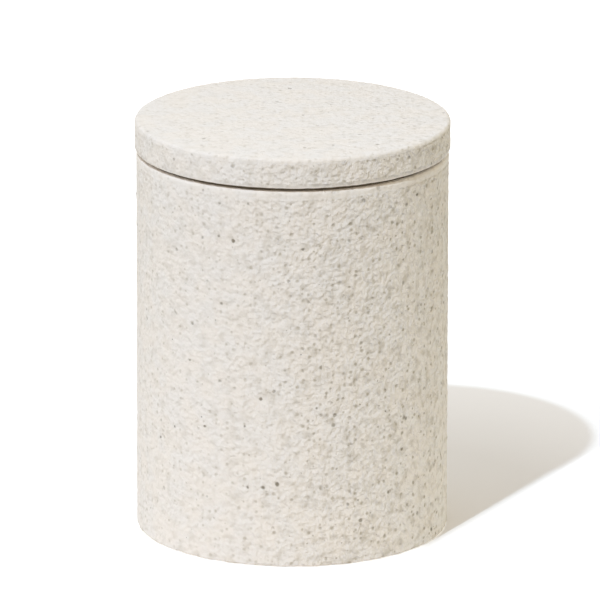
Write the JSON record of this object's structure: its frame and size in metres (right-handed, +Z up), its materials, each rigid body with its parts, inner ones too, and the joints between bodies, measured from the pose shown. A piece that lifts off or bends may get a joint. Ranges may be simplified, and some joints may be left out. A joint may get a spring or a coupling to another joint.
{
  "type": "cotton swab container",
  "caption": "Round cast-stone jar with a flat lift-off lid on a silicone gasket, which stores cotton swabs standing on end.",
  "frame": {"origin": "centre of the footprint, on the surface that the container stands on", "axes": "+Z up along the jar's axis, towards the lid; the jar is round, and X and Y pass midway between the base pads"},
  "size_m": [0.0762, 0.0762, 0.1017],
  "materials": {
    "cast_stone": "matte",
    "silicone": "satin",
    "pad_foam": "matte"
  },
  "bodies": {
    "jar": {"jar": "cast_stone", "base_pad_1": "pad_foam", "base_pad_2": "pad_foam", "base_pad_3": "pad_foam", "base_pad_4": "pad_foam"},
    "lid": {"lid": "cast_stone", "lid_gasket": "silicone"}
  },
  "joints": [
    {"name": "lid_lift", "type": "slide", "parent": "jar", "child": "lid", "axis": [0, 0, 1], "range_m": [0, 0.1]}
  ]
}
